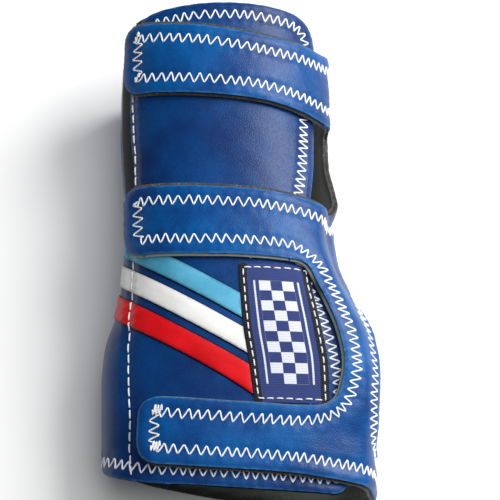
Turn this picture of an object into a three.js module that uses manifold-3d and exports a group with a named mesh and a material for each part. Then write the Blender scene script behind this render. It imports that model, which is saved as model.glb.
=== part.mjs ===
// Bowling glove for the right hand: a padded wrist support of blue vinyl.
// The palm lies on the plane z = 0, the fingers leave at -Y, the forearm at +Y and the thumb at +X.
import * as THREE from 'three';
import Module from 'manifold-3d';
import { mergeVertices } from 'three/addons/utils/BufferGeometryUtils.js';

const wasm = await Module();
wasm.setup();

// Driving dimensions in millimetres
const LENGTH = 168; // finger end to forearm end of the back panel
const HAND_WIDTH = 90; // hollow across the knuckles, the thumb left out
const ARM_DEPTH = 47; // hollow from the palm side to the back at the forearm end
const PATTERN_GIRTH = 200; // width at which the flat pattern pieces are drawn
const LAYER_GAP = 0.3; // between one layer and the next
const PAD_WALL = 3; // black foam under the back panel
const PANEL_WALL = 1.2; // vinyl of the back panel
const TRIM_WALL = 0.6; // stripes and label
const LINING_WALL = 0.8; // grey felt under the wrap
const WRAP_WALL = 1.2; // vinyl of the wrap and its straps
const FOREARM_STRAP_WIDTH = 23.5;
const WRIST_STRAP_WIDTH = 23.8;
const HAND_STRAP_WIDTH = 21.7;
const STRAP_CORNER = 7; // how far a strap's end is rounded
const CORNER = 20; // largest rounding of a corner of the pattern
const THUMB_HOLE_LENGTH = 55;
const THUMB_HOLE_WIDTH = 27;
const STRIPE_WIDTH = 6.6;
const STRIPE_SPACING = 11.6; // along the length, from one stripe to the next
const LABEL_LENGTH = 46;
const LABEL_WIDTH = 22.8;
const PAD_MARGIN = 0.6; // foam showing past the vinyl
const ARM_PAD_MARGIN = 9; // and along the little-finger side of the forearm
const WRAP_RAMP = 11; // girth over which the wrap climbs on to the back panel
const FLARE_FOOT = 17; // girth over which its edge leaves the wrist at the side window

// Facets: how finely the sheets are bent
const SPOKES = 36;
const RINGS = 19;
const EDGE_STEPS = 3;
const LABEL_STEPS = 4;

// Heights over the hollow of each layer, inner and outer face
const PAD = { inner: 0, outer: PAD_WALL };
const PANEL = { inner: PAD.outer + LAYER_GAP, outer: PAD.outer + LAYER_GAP + PANEL_WALL };
const TRIM = { inner: PANEL.outer + LAYER_GAP, outer: PANEL.outer + LAYER_GAP + TRIM_WALL };
const LINING = { inner: 0, outer: LINING_WALL };
const WRAP = { inner: LINING.outer + LAYER_GAP, outer: LINING.outer + LAYER_GAP + WRAP_WALL };
const STRAP_RISE = TRIM.outer + LAYER_GAP;
const PALM_Z = WRAP.outer;

// Sections of the hollow from the finger end to the forearm end.
// little and thumb are shares of HAND_WIDTH, depth and widest of ARM_DEPTH and of the depth,
// full is the roundness of the back and flat the share of the palm side that lies flat.
const SECTIONS = [
  { at: 0.00, little: 0.460, thumb: 0.480, depth: 0.64, widest: 0.46, full: 2.35, flat: 0.62 },
  { at: 0.10, little: 0.464, thumb: 0.486, depth: 0.68, widest: 0.46, full: 2.35, flat: 0.61 },
  { at: 0.16, little: 0.466, thumb: 0.530, depth: 0.72, widest: 0.46, full: 2.35, flat: 0.59 },
  { at: 0.25, little: 0.468, thumb: 0.561, depth: 0.79, widest: 0.46, full: 2.30, flat: 0.56 },
  { at: 0.32, little: 0.454, thumb: 0.522, depth: 0.84, widest: 0.47, full: 2.25, flat: 0.50 },
  { at: 0.37, little: 0.424, thumb: 0.463, depth: 0.86, widest: 0.48, full: 2.20, flat: 0.46 },
  { at: 0.43, little: 0.403, thumb: 0.391, depth: 0.87, widest: 0.49, full: 2.15, flat: 0.42 },
  { at: 0.50, little: 0.404, thumb: 0.338, depth: 0.87, widest: 0.50, full: 2.10, flat: 0.40 },
  { at: 0.58, little: 0.408, thumb: 0.326, depth: 0.88, widest: 0.50, full: 2.10, flat: 0.38 },
  { at: 0.65, little: 0.416, thumb: 0.308, depth: 0.90, widest: 0.50, full: 2.10, flat: 0.36 },
  { at: 0.75, little: 0.430, thumb: 0.284, depth: 0.93, widest: 0.50, full: 2.10, flat: 0.36 },
  { at: 0.88, little: 0.430, thumb: 0.274, depth: 0.97, widest: 0.50, full: 2.10, flat: 0.36 },
  { at: 1.00, little: 0.424, thumb: 0.279, depth: 1.00, widest: 0.50, full: 2.10, flat: 0.36 },
];

// Pattern pieces. turn is the share of the girth from the ridge of the back, plus towards the
// thumb; at is the share of LENGTH from the finger end; round is the share of CORNER by which
// a corner is rounded.
const PANEL_LITTLE_EDGE = [
  { turn: -0.169, at: 0.985, round: 0.60 },
  { turn: -0.173, at: 0.610, round: 1.00 },
  { turn: -0.222, at: 0.465, round: 0.60 },
  { turn: -0.246, at: 0.340, round: 0.70 },
  { turn: -0.250, at: 0.084, round: 0.35 },
];
const PANEL_FINGER_EDGE = [
  { turn: -0.219, at: 0.047, round: 0.45 },
  { turn: -0.150, at: 0.021, round: 0.60 },
  { turn: 0.030, at: 0.005, round: 0.60 },
];
const PANEL_THUMB_EDGE = [
  { turn: 0.158, at: 0.000, round: 0.45 },
  { turn: 0.174, at: 0.032, round: 0.40 },
  { turn: 0.163, at: 0.130, round: 0.70 },
  { turn: 0.133, at: 0.270, round: 0.70 },
  { turn: 0.136, at: 0.540, round: 0.80 },
  { turn: 0.177, at: 0.705, round: 0.90 },
  { turn: 0.189, at: 0.985, round: 0.70 },
];
const PANEL_ARM_EDGE = [
  { turn: 0.020, at: 1.000, round: 1.00 },
];

// Straps: middle lines from the free end on the back round to the thumb side, wide is the share
// of the strap's width
const FOREARM_STRAP = [
  { turn: -0.167, at: 0.890, wide: 1.06 },
  { turn: -0.050, at: 0.870, wide: 1.04 },
  { turn: 0.080, at: 0.852, wide: 0.96 },
  { turn: 0.195, at: 0.838, wide: 1.06 },
];
const WRIST_STRAP = [
  { turn: -0.185, at: 0.549, wide: 1.00 },
  { turn: -0.060, at: 0.533, wide: 1.00 },
  { turn: 0.080, at: 0.525, wide: 0.97 },
];
const HAND_STRAP = [
  { turn: -0.160, at: 0.122, wide: 1.01 },
  { turn: -0.060, at: 0.108, wide: 1.00 },
  { turn: 0.070, at: 0.098, wide: 0.99 },
];
const SIDE_WINDOW = [
  { turn: 0.230, at: 0.775, round: 0.45 },
  { turn: 0.238, at: 0.655, round: 0.70 },
  { turn: 0.214, at: 0.574, round: 0.35 },
];
const LABEL_WINDOW = [
  { turn: 0.118, at: 0.452, round: 0.45 },
  { turn: 0.125, at: 0.370, round: 0.60 },
  { turn: 0.130, at: 0.250, round: 0.60 },
  { turn: 0.126, at: 0.166, round: 0.55 },
];
const PALM_FINGER_EDGE = [
  { turn: 0.235, at: 0.012, round: 0.50 },
  { turn: 0.500, at: 0.030, round: 1.00 },
];
const PALM_SEAM_ENDS = { finger: { at: 0.090, round: 0.35 }, arm: { at: 0.925, round: 0.35 } };
const PALM_ARM_EDGE = [
  { turn: 0.500, at: 0.900, round: 1.00 },
  { turn: 0.255, at: 0.938, round: 0.80 },
];
const THUMB_HOLE = { turn: 0.262, at: 0.268, lean: 0.12 };
const STRIPES = [
  { name: 'stripe_light_blue', order: 0, wide: 1.03, colour: 0x7fb6d3 },
  { name: 'stripe_white', order: 1, wide: 0.96, colour: 0xf2f5f4 },
  { name: 'stripe_red', order: 2, wide: 0.98, colour: 0xdc2b35 },
];
const STRIPE_FIRST = { at: 0.3535, slope: -0.80 }; // where its middle crosses turn 0
const LABEL = { turn: 0.0644, at: 0.3075, taper: 0.04, bow: -0.0152 };
const FLARE = { low: 0.575, high: 0.87, turn: 0.20, along: 0.56, wrist: 0.23 }; // shares of STRAP_RISE

const lerp = THREE.MathUtils.lerp;
const clamp = THREE.MathUtils.clamp;
const smoothstep = THREE.MathUtils.smoothstep;

// A smooth value between the rows of the table
function between(at, column) {
  const last = SECTIONS.length - 1;
  let row = 0;
  while (row < last - 1 && SECTIONS[row + 1].at < at) row += 1;
  const slope = (index) => {
    const before = SECTIONS[Math.max(index - 1, 0)];
    const after = SECTIONS[Math.min(index + 1, last)];
    return (after[column] - before[column]) / (after.at - before.at);
  };
  const from = SECTIONS[row];
  const to = SECTIONS[row + 1];
  const step = to.at - from.at;
  const t = clamp((at - from.at) / step, 0, 1);
  const start = (2 * t ** 3 - 3 * t ** 2 + 1) * from[column] + (t ** 3 - 2 * t ** 2 + t) * step * slope(row);
  const end = (3 * t ** 2 - 2 * t ** 3) * to[column] + (t ** 3 - t ** 2) * step * slope(row + 1);
  return start + end;
}

// One ring of the hollow: points and outward normals, evenly spaced round the girth
function ring(at) {
  const reach = { little: between(at, 'little') * HAND_WIDTH, thumb: between(at, 'thumb') * HAND_WIDTH };
  const depth = between(at, 'depth') * ARM_DEPTH;
  const middle = (reach.thumb - reach.little) / 2;
  const half = (reach.thumb + reach.little) / 2;
  const waist = between(at, 'widest') * depth;
  const side = half * (1 - between(at, 'flat'));
  const power = 2 / between(at, 'full');
  const steps = 40;
  const right = [];
  for (let i = 0; i < steps; i += 1) {
    const turn = (i / steps) * (Math.PI / 2);
    right.push([half * Math.sin(turn) ** power, waist + (depth - waist) * Math.cos(turn) ** power]);
  }
  for (let i = 0; i <= steps; i += 1) {
    const turn = (i / steps) * (Math.PI / 2);
    right.push([half - side + side * Math.cos(turn), waist - waist * Math.sin(turn)]);
  }
  const left = right.slice(1).reverse().map(([x, z]) => [-x, z]);
  const loop = [...right, ...left, right[0]].map(([x, z]) => new THREE.Vector2(middle + x, PALM_Z + z));
  const length = [0];
  for (let i = 1; i < loop.length; i += 1) length.push(length[i - 1] + loop[i].distanceTo(loop[i - 1]));
  const girth = length[length.length - 1];
  const points = [];
  let k = 0;
  for (let i = 0; i < SPOKES; i += 1) {
    const along = (girth * i) / SPOKES;
    while (length[k + 1] < along) k += 1;
    points.push(loop[k].clone().lerp(loop[k + 1], (along - length[k]) / (length[k + 1] - length[k])));
  }
  const normals = points.map((_, i) => {
    const chord = points[(i + 1) % SPOKES].clone().sub(points[(i + SPOKES - 1) % SPOKES]).normalize();
    return new THREE.Vector2(-chord.y, chord.x);
  });
  return { points, normals, girth };
}

const RING_TABLE = Array.from({ length: RINGS + 1 }, (_, i) => ring(i / RINGS));

// The point at a height over the hollow, with flat facets between rings and spokes
function onForm(turn, at, height) {
  const spoke = THREE.MathUtils.euclideanModulo(turn, 1) * SPOKES;
  const row = clamp(at, 0, 1) * RINGS;
  const i = Math.floor(spoke) % SPOKES;
  const j = Math.min(Math.floor(row), RINGS - 1);
  const corner = (spokeIndex, ringIndex) => {
    const { points, normals } = RING_TABLE[ringIndex];
    const k = spokeIndex % SPOKES;
    return points[k].clone().addScaledVector(normals[k], height);
  };
  const u = spoke - Math.floor(spoke);
  const v = row - j;
  const beside = u > v ? corner(i + 1, j) : corner(i, j + 1);
  const place = corner(i, j).multiplyScalar(1 - Math.max(u, v));
  place.addScaledVector(beside, Math.abs(u - v));
  place.addScaledVector(corner(i + 1, j + 1), Math.min(u, v));
  return new THREE.Vector3(place.x, (at - 0.5) * LENGTH, place.y);
}

// Flat pattern: a closed outline with rounded corners
const flat = ({ turn, at }) => new THREE.Vector2(turn * PATTERN_GIRTH, at * LENGTH);

function outline(rows) {
  const points = rows.map(flat);
  const path = new THREE.Shape();
  const count = points.length;
  points.forEach((corner, i) => {
    const before = points[(i + count - 1) % count];
    const after = points[(i + 1) % count];
    const room = Math.min(corner.distanceTo(before), corner.distanceTo(after)) / 2.05;
    const round = Math.min((rows[i].round ?? 0) * CORNER, room);
    const enter = corner.clone().add(before.clone().sub(corner).setLength(round || 1e-6));
    const leave = corner.clone().add(after.clone().sub(corner).setLength(round || 1e-6));
    if (i === 0) path.moveTo(enter.x, enter.y);
    else path.lineTo(enter.x, enter.y);
    if (round > 0) path.quadraticCurveTo(corner.x, corner.y, leave.x, leave.y);
  });
  path.closePath();
  return path;
}

// Both long edges of a strap, from its middle line and its width
function strapEdges(line, width) {
  const half = width / 2 / LENGTH;
  const round = STRAP_CORNER / CORNER;
  const far = line.map(({ turn, at, wide }) => ({ turn, at: at + wide * half, round }));
  const near = line.map(({ turn, at, wide }) => ({ turn, at: at - wide * half, round }));
  return { far, near };
}

function toManifold(geometry) {
  const bare = geometry.clone();
  bare.deleteAttribute('normal');
  bare.deleteAttribute('uv');
  const merged = mergeVertices(bare, 1e-5);
  return new wasm.Manifold(new wasm.Mesh({
    numProp: 3,
    vertProperties: new Float32Array(merged.attributes.position.array),
    triVerts: new Uint32Array(merged.index.array),
  }));
}

// The slab is cut while slightly domed, so that a cut keeps a point on every grid line
const DOME = 0.001;
const dome = (x, y) => DOME * (x * x + y * y + x * y);

function prism(shape) {
  const depth = 6 * dome(PATTERN_GIRTH, LENGTH);
  const block = new THREE.ExtrudeGeometry(shape, { depth, bevelEnabled: false, curveSegments: EDGE_STEPS });
  block.translate(0, 0, -depth / 2);
  return toManifold(block);
}

// A flat slab, 1 thick, whose grid lines lie on the rings and spokes, with the same diagonals
// on both faces
function slab() {
  const first = -Math.ceil(SPOKES * 0.3);
  const columns = Math.ceil(SPOKES * 0.85) - first;
  const spoke = PATTERN_GIRTH / SPOKES;
  const plane = new THREE.PlaneGeometry(columns * spoke, LENGTH, columns, RINGS);
  plane.translate((first + columns / 2) * spoke, LENGTH / 2, 0);
  const face = (side) => {
    const points = Array.from(plane.attributes.position.array);
    return points.map((value, i) => (i % 3 === 2 ? side + dome(points[i - 2], points[i - 1]) : value));
  };
  const faces = Array.from(plane.index.array);
  const count = plane.attributes.position.count;
  const under = faces.map((_, i) => faces[i - (i % 3) + 2 - (i % 3)] + count);
  const rim = [];
  const wide = columns + 1;
  for (let i = 0; i < RINGS; i += 1) rim.push(i * wide);
  for (let i = 0; i < columns; i += 1) rim.push(RINGS * wide + i);
  for (let i = RINGS; i > 0; i -= 1) rim.push(i * wide + columns);
  for (let i = columns; i > 0; i -= 1) rim.push(i);
  const walls = rim.flatMap((here, i) => {
    const next = rim[(i + 1) % rim.length];
    return [here, here + count, next, next, here + count, next + count];
  });
  const geometry = new THREE.BufferGeometry();
  geometry.setAttribute('position', new THREE.Float32BufferAttribute([...face(1), ...face(0)], 3));
  geometry.setIndex([...faces, ...under, ...walls]);
  return toManifold(geometry);
}

// Bends a cut slab on to the form between the heights that the layer and its lift give
function bend(cut, layer, lift = () => 0) {
  const { vertProperties, triVerts } = cut.getMesh();
  const positions = new Float32Array(vertProperties.length);
  for (let i = 0; i < vertProperties.length; i += 3) {
    const [x, y, z] = vertProperties.slice(i, i + 3);
    const outside = z - dome(x, y) > 0.5;
    const turn = x / PATTERN_GIRTH;
    const at = y / LENGTH;
    onForm(turn, at, (outside ? layer.outer : layer.inner) + lift(turn, at)).toArray(positions, i);
  }
  const geometry = new THREE.BufferGeometry();
  geometry.setAttribute('position', new THREE.BufferAttribute(positions, 3));
  geometry.setIndex(new THREE.BufferAttribute(new Uint32Array(triVerts), 1));
  geometry.computeVertexNormals();
  return geometry;
}

// Where the thumb edge of the back panel lies at a place along the length
function panelThumbEdge(at) {
  const rows = PANEL_THUMB_EDGE;
  let k = 0;
  while (k < rows.length - 2 && rows[k + 1].at < at) k += 1;
  const share = clamp((at - rows[k].at) / (rows[k + 1].at - rows[k].at), 0, 1);
  return lerp(rows[k].turn, rows[k + 1].turn, share);
}

// The wrap lies on the hollow at the palm and climbs over the back panel on the thumb side.
// Along the side window its edge stands off the wrist, most of all next to the wrist strap.
function wrapLift(turn, at) {
  const foot = panelThumbEdge(at) + (PAD_MARGIN + 1.4) / PATTERN_GIRTH;
  const climb = 1 - smoothstep(turn, foot, foot + WRAP_RAMP / PATTERN_GIRTH);
  const beside = smoothstep(at, FLARE.low, FLARE.low + 0.045);
  const window = FLARE.along * (1 - smoothstep(at, FLARE.high - 0.09, FLARE.high));
  const wrist = FLARE.wrist * (1 - smoothstep(at, FLARE.low + 0.055, FLARE.low + 0.125));
  const stand = 1 - smoothstep(turn, FLARE.turn, FLARE.turn + FLARE_FOOT / PATTERN_GIRTH);
  const flare = beside * stand * (window + wrist);
  return STRAP_RISE * (1 - (1 - climb) * (1 - flare));
}

// The little-finger edge, moved out by one margin on the forearm and another on the hand
function littleEdge(armMargin, handMargin) {
  return PANEL_LITTLE_EDGE.map((row) => {
    const margin = row.at > 0.5 ? armMargin : handMargin;
    return { ...row, turn: row.turn - margin / PATTERN_GIRTH };
  });
}

const panelOutline = outline([
  ...littleEdge(0, 0),
  ...PANEL_FINGER_EDGE,
  ...PANEL_THUMB_EDGE,
  ...PANEL_ARM_EDGE,
]);

const padOutline = outline([
  ...littleEdge(ARM_PAD_MARGIN, PAD_MARGIN),
  ...PANEL_FINGER_EDGE,
  ...PANEL_THUMB_EDGE.map((row) => ({ ...row, turn: row.turn + PAD_MARGIN / PATTERN_GIRTH })),
  ...PANEL_ARM_EDGE,
]);

// The wrap: palm piece, forearm strap, side window, wrist strap, bridge and hand strap in one
function wrapOutline() {
  const forearm = strapEdges(FOREARM_STRAP, FOREARM_STRAP_WIDTH);
  const wrist = strapEdges(WRIST_STRAP, WRIST_STRAP_WIDTH);
  const hand = strapEdges(HAND_STRAP, HAND_STRAP_WIDTH);
  const seamGap = 2 * LAYER_GAP;
  const seam = littleEdge(ARM_PAD_MARGIN + seamGap, PAD_MARGIN + seamGap);
  const seamSide = seam.slice(1, -1).reverse().map((row) => ({ ...row, turn: row.turn + 1 }));
  return outline([
    ...forearm.far.reverse(),
    ...forearm.near,
    ...SIDE_WINDOW,
    ...wrist.far.reverse(),
    ...wrist.near,
    ...LABEL_WINDOW,
    ...hand.far.reverse(),
    ...hand.near,
    ...PALM_FINGER_EDGE,
    { ...PALM_SEAM_ENDS.finger, turn: 1 + seam[seam.length - 1].turn },
    ...seamSide,
    { ...PALM_SEAM_ENDS.arm, turn: 1 + seam[0].turn },
    ...PALM_ARM_EDGE,
  ]);
}

function thumbHole() {
  const points = [];
  const sides = 18;
  for (let i = 0; i < sides; i += 1) {
    const angle = (i / sides) * 2 * Math.PI;
    const along = (THUMB_HOLE_LENGTH / 2) * Math.sin(angle);
    const across = (THUMB_HOLE_WIDTH / 2) * Math.cos(angle) + THUMB_HOLE.lean * along;
    points.push(flat(THUMB_HOLE).add(new THREE.Vector2(across, along)));
  }
  return new THREE.Shape(points);
}

// The label is straight once bent on to the hand, so its pattern bows towards the little finger
function labelOutline(margin) {
  const half = { across: LABEL_WIDTH / 2 + margin, along: LABEL_LENGTH / 2 + margin };
  const middle = flat(LABEL);
  const side = (across) => Array.from({ length: LABEL_STEPS + 1 }, (_, i) => {
    const along = (2 * i) / LABEL_STEPS - 1;
    const narrow = 1 + LABEL.taper * along;
    const bow = LABEL.bow * PATTERN_GIRTH * (1 - along * along);
    return middle.clone().add(new THREE.Vector2(across * half.across * narrow + bow, along * half.along));
  });
  return new THREE.Shape([...side(1), ...side(-1).reverse()]);
}

// A slanting band across the back panel, up to the label
function stripeBand({ order, wide }) {
  const middle = STRIPE_FIRST.at - (order * STRIPE_SPACING) / LENGTH;
  const half = (wide * STRIPE_WIDTH) / 2 / LENGTH / Math.cos(Math.atan(STRIPE_FIRST.slope));
  const line = (turn, side) => flat({ turn, at: middle + STRIPE_FIRST.slope * turn + side * half });
  const end = LABEL.turn - LABEL_WIDTH / 2 / PATTERN_GIRTH;
  return new THREE.Shape([line(-0.3, -1), line(end, -1), line(end, 1), line(-0.3, 1)]);
}

// Pieces
const group = new THREE.Group();

function add(name, geometry, colour, roughness) {
  const material = new THREE.MeshStandardMaterial({ color: colour, roughness, metalness: 0 });
  const mesh = new THREE.Mesh(geometry, material);
  mesh.name = name;
  group.add(mesh);
}

const sheet = slab();
const panelPrism = prism(panelOutline);
const wrapPrism = prism(wrapOutline()).subtract(prism(thumbHole()));
const labelClear = prism(labelOutline(LAYER_GAP));

add('dorsal_pad', bend(sheet.intersect(prism(padOutline)), PAD), 0x1c1c1f, 0.95);
add('dorsal_cover', bend(sheet.intersect(panelPrism), PANEL), 0x2a5fa6, 0.42);
for (const stripe of STRIPES) {
  const band = sheet.intersect(panelPrism).intersect(prism(stripeBand(stripe))).subtract(labelClear);
  add(stripe.name, bend(band, TRIM), stripe.colour, 0.4);
}
add('woven_label', bend(sheet.intersect(prism(labelOutline(0))), TRIM), 0x33487a, 0.85);
add('wrap_lining', bend(sheet.intersect(wrapPrism), LINING, wrapLift), 0x6a645f, 0.95);
add('wrap_cover', bend(sheet.intersect(wrapPrism), WRAP, wrapLift), 0x1f66b4, 0.42);

export default group;
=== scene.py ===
"""Right-handed bowling glove: padded blue vinyl, foam, felt, a woven label and white thread.

Everything is in metres, palm side down on z = 0, finger end at -Y and thumb side at +X. The flat
pattern pieces are cut first, in millimetres, and then laid over the hollow form of the glove.
"""

import math

import bpy
import numpy as np
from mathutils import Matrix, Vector


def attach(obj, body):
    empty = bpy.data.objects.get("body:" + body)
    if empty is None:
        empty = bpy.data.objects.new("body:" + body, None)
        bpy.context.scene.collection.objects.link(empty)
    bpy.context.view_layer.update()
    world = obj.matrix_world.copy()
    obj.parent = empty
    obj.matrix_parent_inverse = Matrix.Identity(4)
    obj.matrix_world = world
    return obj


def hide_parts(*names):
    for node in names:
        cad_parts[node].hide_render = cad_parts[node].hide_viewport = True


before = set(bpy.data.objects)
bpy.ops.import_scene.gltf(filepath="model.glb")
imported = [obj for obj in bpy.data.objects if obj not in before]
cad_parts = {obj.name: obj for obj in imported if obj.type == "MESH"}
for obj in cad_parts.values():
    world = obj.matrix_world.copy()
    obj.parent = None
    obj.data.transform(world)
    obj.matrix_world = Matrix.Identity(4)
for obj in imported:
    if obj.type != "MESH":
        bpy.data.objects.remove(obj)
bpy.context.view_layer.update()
rng = np.random.default_rng(7)

MM = 0.001

# Sizes of the hollow and of the layers over it, in millimetres
LENGTH = 168.0
HAND_WIDTH = 90.0
ARM_DEPTH = 47.0
PATTERN_GIRTH = 200.0
LAYER_GAP = 0.3
PAD_WALL = 3.0
PANEL_WALL = 1.2
TRIM_WALL = 0.6
LINING_WALL = 0.8
WRAP_WALL = 1.2
PANEL_TOP = PAD_WALL + LAYER_GAP + PANEL_WALL
TRIM_TOP = PANEL_TOP + LAYER_GAP + TRIM_WALL
STRAP_RISE = TRIM_TOP + LAYER_GAP
WRAP_TOP = LINING_WALL + LAYER_GAP + WRAP_WALL
PALM_Z = WRAP_TOP
FLOOR_CLEARANCE = 0.12
PRESSED_THREAD = 0.02

# Sizes of the pattern pieces, and how far their seams lie inside their edges
FOREARM_STRAP_WIDTH = 23.5
WRIST_STRAP_WIDTH = 23.8
HAND_STRAP_WIDTH = 21.7
STRAP_CORNER = 7.0
CORNER = 20.0
CORNER_LIMIT = 1 / 2.05
THUMB_HOLE_LENGTH = 55.0
THUMB_HOLE_WIDTH = 27.0
STRIPE_WIDTH = 6.6
STRIPE_SPACING = 11.6
LABEL_LENGTH = 46.0
LABEL_WIDTH = 22.8
PAD_MARGIN = 0.6
ARM_PAD_MARGIN = 9.0
WRAP_RAMP = 11.0
FLARE_FOOT = 17.0
FELT_MARGIN = 0.5
FELT_SHOWING = 1.3
STRAP_INSET = 5.1
WINDOW_INSET = 3.6
HOLE_INSET = 3.4
HEM_INSET = 4.4
HEM_START = 7.0
SIDE_INSET = 4.3

# Thread: a zigzag, straight stitches, and the close stitches at the corners of straps
ZIGZAG_WIDTH = 3.1
ZIGZAG_PITCH = 3.45
TIGHT_PITCH = 2.75
TIGHT_TURNS = (-0.05, 0.16)
PEAK_SHARPNESS = 0.95
NEEDLE_SHARPNESS = 10
THREAD = 0.30
LABEL_THREAD = 0.26
WAVE_RISE = 0.13
NEEDLE_DEPTH = 0.30
DASH = 2.8
DASH_GAP = 0.8
DASH_UNEVEN = 0.06
LOCK_PITCH = 1.1
LOCK_RISE = 0.34
LOCK_INSET = 1.1 * STRAP_INSET
LOCK_LENGTHS = (1.3, 2.6)
LABEL_SEAM_SIDES, LABEL_SEAM_ENDS = -1.25, -1.3
LABEL_DASH, LABEL_DASH_GAP = 2.0, 1.0
SIDE_SWAY, LABEL_SWAY = 0.10, 0.05

# Unevenness of a zigzag along and across: size, radians to a stitch, and where it starts
WAVE_DRIFT = ((0.08, 2 * np.pi / 7.3, 0.0), (0.055, 2 * np.pi / 3.1, 1.0))
WAVE_SWELL = ((0.07, 2.4, 0.0), (0.05, 5.1, 0.7))

# Relief of sewn vinyl: how deep or high, how far from its line, and how wide
ROLL_DEPTH, ROLL_WIDTH = 0.34, 1.3
FURROW_DEPTH, FURROW_WIDTH = 0.30, 1.7
MARGIN_RISE, MARGIN_PLACE, MARGIN_WIDTH = 0.16, 2.9, 1.1
PUCKER_RISE, PUCKER_PLACE, PUCKER_WIDTH = 0.13, 2.4, 1.2
PUFF_FROM_SEAM, PUFF_FROM_EDGE, MARGIN_FROM_EDGE = (1.0, 7.0), (1.0, 8.0), (0.2, 1.6)
PANEL_PLUMP, WRAP_PLUMP = 0.22, 0.40
PANEL_WOBBLE, WRAP_WOBBLE, PAD_WOBBLE, WOBBLE_WAVE = 0.10, 0.16, 0.08, 23.0
PAD_ROLL, PAD_ROLL_WIDTH = 0.5, 1.6
TRIM_CLEARANCE = 0.06
FELT_PRESS = 0.05
BAND_CROWN, BAND_CROWN_WIDTH = 0.16, 2.4
BAND_ROLL, BAND_ROLL_WIDTH = 0.20, 0.6
BAND_FURROW, BAND_FURROW_WIDTH = 0.16, 0.9

# Fineness: spokes and rings of the form, steps along edges and seams in millimetres, the distance
# at which points are merged and the width of the slit that joins a hole to its outline
SPOKES, RINGS, ARC_STEPS, NORMAL_REACH = 240, 120, 60, 3
HOLE_SIDES, CORNER_STEPS, LABEL_SIDE_STEPS = 72, 9, 16
STRIPE_END_STEPS, STRIPE_SIDE_STEPS, STRIPE_ROUNDS = 9, 30, 12
LINE_STEP, TRIM_STEP, SEAM_STEP, EDGE_STEP = 0.5, 0.5, 0.7, 0.8
WAVE_STEPS = 12
MERGE_DISTANCE = 0.03
SLIT = 0.01

# How far apart the search for the nearest line keeps two turns, how many points it takes at a time,
# which points of an inset line it drops as loops, and how often that line is smoothed
TURN_APART, BLOCK, LOOP_LIMIT, SMOOTHINGS = 60.0, 2000, 0.955, 4

# Edges sharper than these are bevelled or shaded sharp
BEVEL_ANGLE, SMOOTH_ANGLE = math.radians(55), math.radians(50)

# Sections of the hollow: at is a share of LENGTH, little and thumb are reaches to the two sides as
# shares of HAND_WIDTH, depth is a share of ARM_DEPTH, widest is the share of the depth at which the
# section is widest, full is the power of its back's curve, and flat is how much of its palm is flat
COLUMNS = ("at", "little", "thumb", "depth", "widest", "full", "flat")
SECTIONS = (
    (0.00, 0.460, 0.480, 0.64, 0.46, 2.35, 0.62),
    (0.10, 0.464, 0.486, 0.68, 0.46, 2.35, 0.61),
    (0.16, 0.466, 0.530, 0.72, 0.46, 2.35, 0.59),
    (0.25, 0.468, 0.561, 0.79, 0.46, 2.30, 0.56),
    (0.32, 0.454, 0.522, 0.84, 0.47, 2.25, 0.50),
    (0.37, 0.424, 0.463, 0.86, 0.48, 2.20, 0.46),
    (0.43, 0.403, 0.391, 0.87, 0.49, 2.15, 0.42),
    (0.50, 0.404, 0.338, 0.87, 0.50, 2.10, 0.40),
    (0.58, 0.408, 0.326, 0.88, 0.50, 2.10, 0.38),
    (0.65, 0.416, 0.308, 0.90, 0.50, 2.10, 0.36),
    (0.75, 0.430, 0.284, 0.93, 0.50, 2.10, 0.36),
    (0.88, 0.430, 0.274, 0.97, 0.50, 2.10, 0.36),
    (1.00, 0.424, 0.279, 1.00, 0.50, 2.10, 0.36),
)

# Pattern rows: turn (share of the girth), at (share of LENGTH), round (share of CORNER)
PANEL_LITTLE_EDGE = (
    (-0.169, 0.985, 0.60), (-0.173, 0.610, 1.00), (-0.222, 0.465, 0.60),
    (-0.246, 0.340, 0.70), (-0.250, 0.084, 0.35),
)
PANEL_FINGER_EDGE = ((-0.219, 0.047, 0.45), (-0.150, 0.021, 0.60), (0.030, 0.005, 0.60))
PANEL_THUMB_EDGE = (
    (0.158, 0.000, 0.45), (0.174, 0.032, 0.40), (0.163, 0.130, 0.70), (0.133, 0.270, 0.70),
    (0.136, 0.540, 0.80), (0.177, 0.705, 0.90), (0.189, 0.985, 0.70),
)
PANEL_ARM_EDGE = ((0.020, 1.000, 1.00),)
SIDE_WINDOW = ((0.230, 0.775, 0.45), (0.238, 0.655, 0.70), (0.214, 0.574, 0.35))
LABEL_WINDOW = (
    (0.118, 0.452, 0.45), (0.125, 0.370, 0.60), (0.130, 0.250, 0.60), (0.126, 0.166, 0.55),
)
PALM_FINGER_EDGE = ((0.235, 0.012, 0.50), (0.500, 0.030, 1.00))
PALM_ARM_EDGE = ((0.500, 0.900, 1.00), (0.255, 0.938, 0.80))
PALM_SEAM_FINGER = (0.090, 0.35)
PALM_SEAM_ARM = (0.925, 0.35)

# The straight seam near the little-finger edge (turn, at), the turn that marks that edge, and where
# the panel's zigzag starts and the wrap's ends
SIDE_SEAM_ROWS = (
    (-0.162, 0.978), (-0.164, 0.840), (-0.163, 0.755), (-0.165, 0.690), (-0.170, 0.640), (-0.185, 0.481),
    (-0.1875, 0.415), (-0.1835, 0.360), (-0.181, 0.320), (-0.1805, 0.222), (-0.178, 0.150), (-0.177, 0.038),
)
LITTLE_SIDE = -0.16
ZIGZAG_START = (-0.240, 0.087)
WRAP_SEAM_END = 0.715

# Middle lines of the straps: turn, at, share of the strap's width
FOREARM_STRAP = (
    (-0.167, 0.890, 1.06), (-0.050, 0.870, 1.04), (0.080, 0.852, 0.96), (0.195, 0.838, 1.06),
)
WRIST_STRAP = ((-0.185, 0.549, 1.00), (-0.060, 0.533, 1.00), (0.080, 0.525, 0.97))
HAND_STRAP = ((-0.160, 0.122, 1.01), (-0.060, 0.108, 1.00), (0.070, 0.098, 0.99))

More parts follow.
